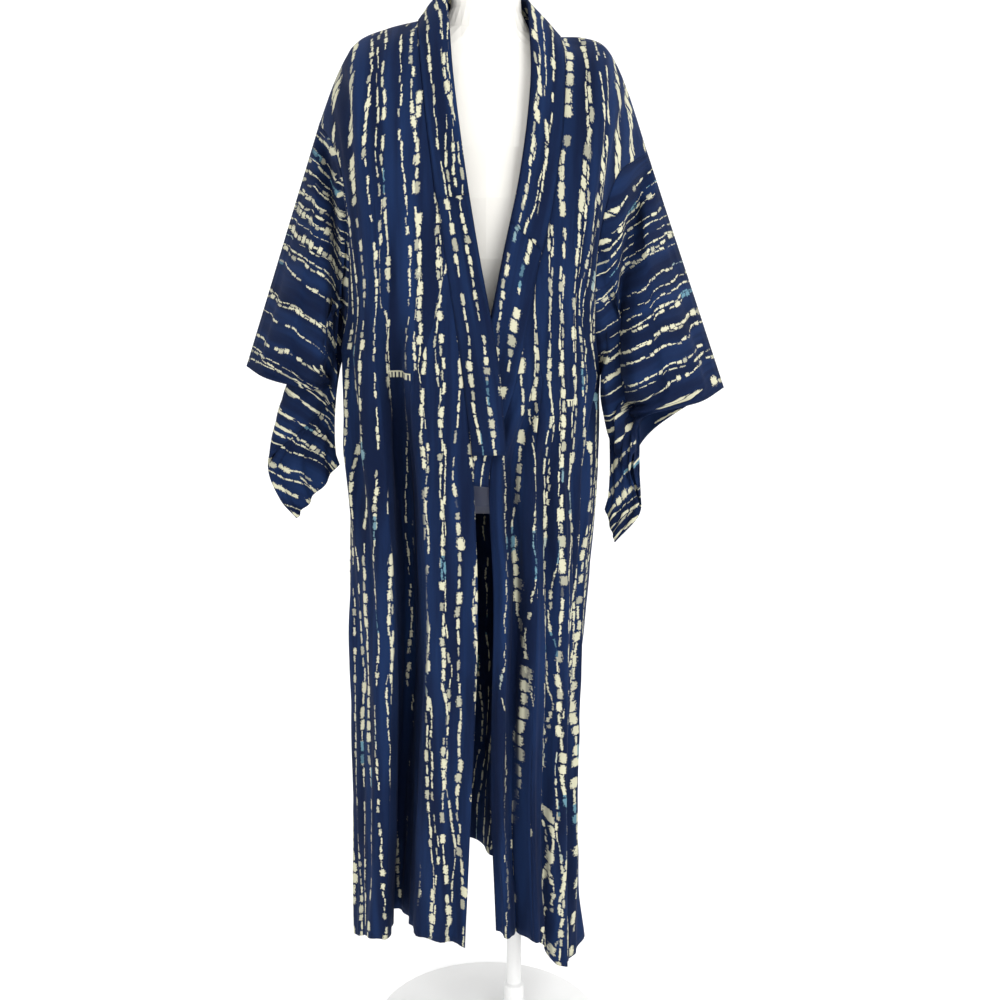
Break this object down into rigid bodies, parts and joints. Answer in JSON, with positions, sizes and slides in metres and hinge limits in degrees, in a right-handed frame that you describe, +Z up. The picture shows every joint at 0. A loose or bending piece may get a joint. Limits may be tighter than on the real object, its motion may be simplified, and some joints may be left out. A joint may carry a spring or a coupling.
{
  "type": "yukata on a limbless dress form with pole and round base",
  "caption": "Unlined cotton kimono-cut robe hanging open on a dress form; collar band, wide sleeve bags, front overlap panels.",
  "frame": {"origin": "middle of the stand's round base, on the floor", "axes": "+Z up; the garment's front faces -Y; the wearer's right is at -X"},
  "size_m": [0.7596, 0.38, 1.7899],
  "materials": {
    "indigo_cotton": "matte woven cotton, indigo with cream dashes",
    "cream_lacquer": "satin",
    "white_metal": "satin powder coat"
  },
  "bodies": {
    "root": {"body_right": "indigo_cotton", "body_left": "indigo_cotton", "overlap_right": "indigo_cotton", "overlap_left": "indigo_cotton", "sleeve_right": "indigo_cotton", "sleeve_left": "indigo_cotton", "collar": "indigo_cotton", "over_collar": "indigo_cotton", "dress_form": "cream_lacquer", "stand_pole": "white_metal", "stand_base": "white_metal"}
  },
  "joints": []
}
